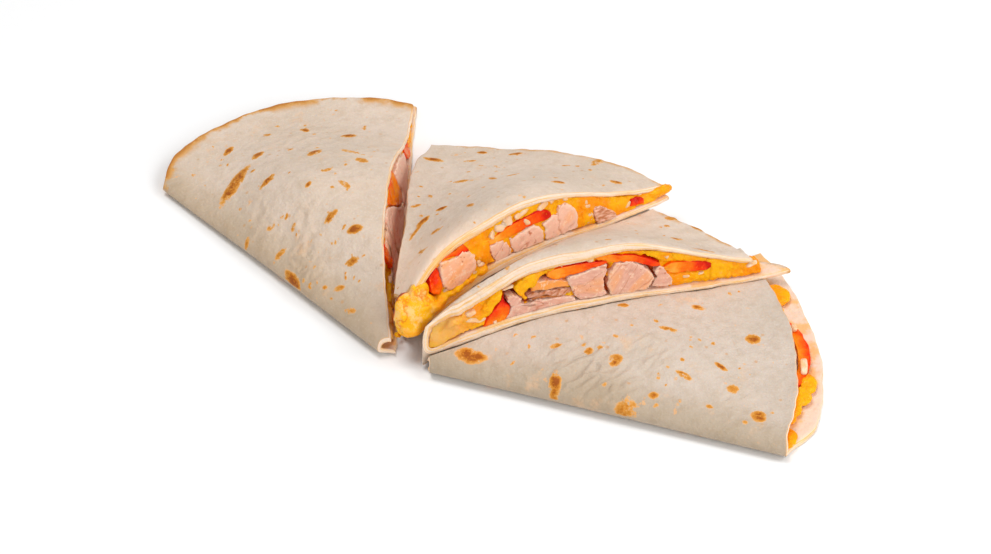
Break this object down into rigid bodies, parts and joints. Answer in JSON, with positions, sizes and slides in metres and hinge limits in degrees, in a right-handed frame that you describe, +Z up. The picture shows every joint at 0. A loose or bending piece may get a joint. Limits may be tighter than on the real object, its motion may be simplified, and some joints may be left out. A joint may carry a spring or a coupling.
{
  "type": "quesadilla",
  "caption": "Chicken quesadilla: a toasted folded flour tortilla cut into wedges and fanned out, with melted cheese, diced chicken and pepper strips showing at the cuts.",
  "frame": {"origin": "middle of the fan's bounding box, on the surface it lies on", "axes": "+X along the fan's longest side, from the wedge that lies apart at the left to the front right wedge; +Z up"},
  "size_m": [0.2102, 0.1716, 0.0376],
  "materials": {
    "tortilla": "matt, floury and toasted in spots",
    "cheese": "melted, slightly glossy",
    "chicken": "moist, fibrous",
    "pepper": "moist and glossy"
  },
  "bodies": {
    "root": {"cheese_1": "cheese", "cheese_2": "cheese", "cheese_3": "cheese", "cheese_4": "cheese", "chicken_1a": "chicken", "chicken_1b": "chicken", "chicken_1c": "chicken", "chicken_2a": "chicken", "chicken_2b": "chicken", "chicken_2c": "chicken", "chicken_2d": "chicken", "chicken_2e": "chicken", "chicken_2f": "chicken", "chicken_2g": "chicken", "chicken_3a": "chicken", "chicken_3b": "chicken", "chicken_3c": "chicken", "chicken_3d": "chicken", "chicken_3e": "chicken", "chicken_3f": "chicken", "chicken_3g": "chicken", "chicken_4a": "chicken", "chicken_4b": "chicken", "pepper_1a": "pepper", "pepper_1b": "pepper", "pepper_1c": "pepper", "pepper_2a": "pepper", "pepper_2b": "pepper", "pepper_2c": "pepper", "pepper_2d": "pepper", "pepper_2e": "pepper", "pepper_2f": "pepper", "pepper_3a": "pepper", "pepper_3b": "pepper", "pepper_3c": "pepper", "pepper_3d": "pepper", "pepper_3e": "pepper", "pepper_3f": "pepper", "pepper_4a": "pepper", "pepper_4b": "pepper", "tortilla_1": "tortilla", "tortilla_2_bottom": "tortilla", "tortilla_2_top": "tortilla", "tortilla_3": "tortilla", "tortilla_4": "tortilla"}
  },
  "joints": []
}
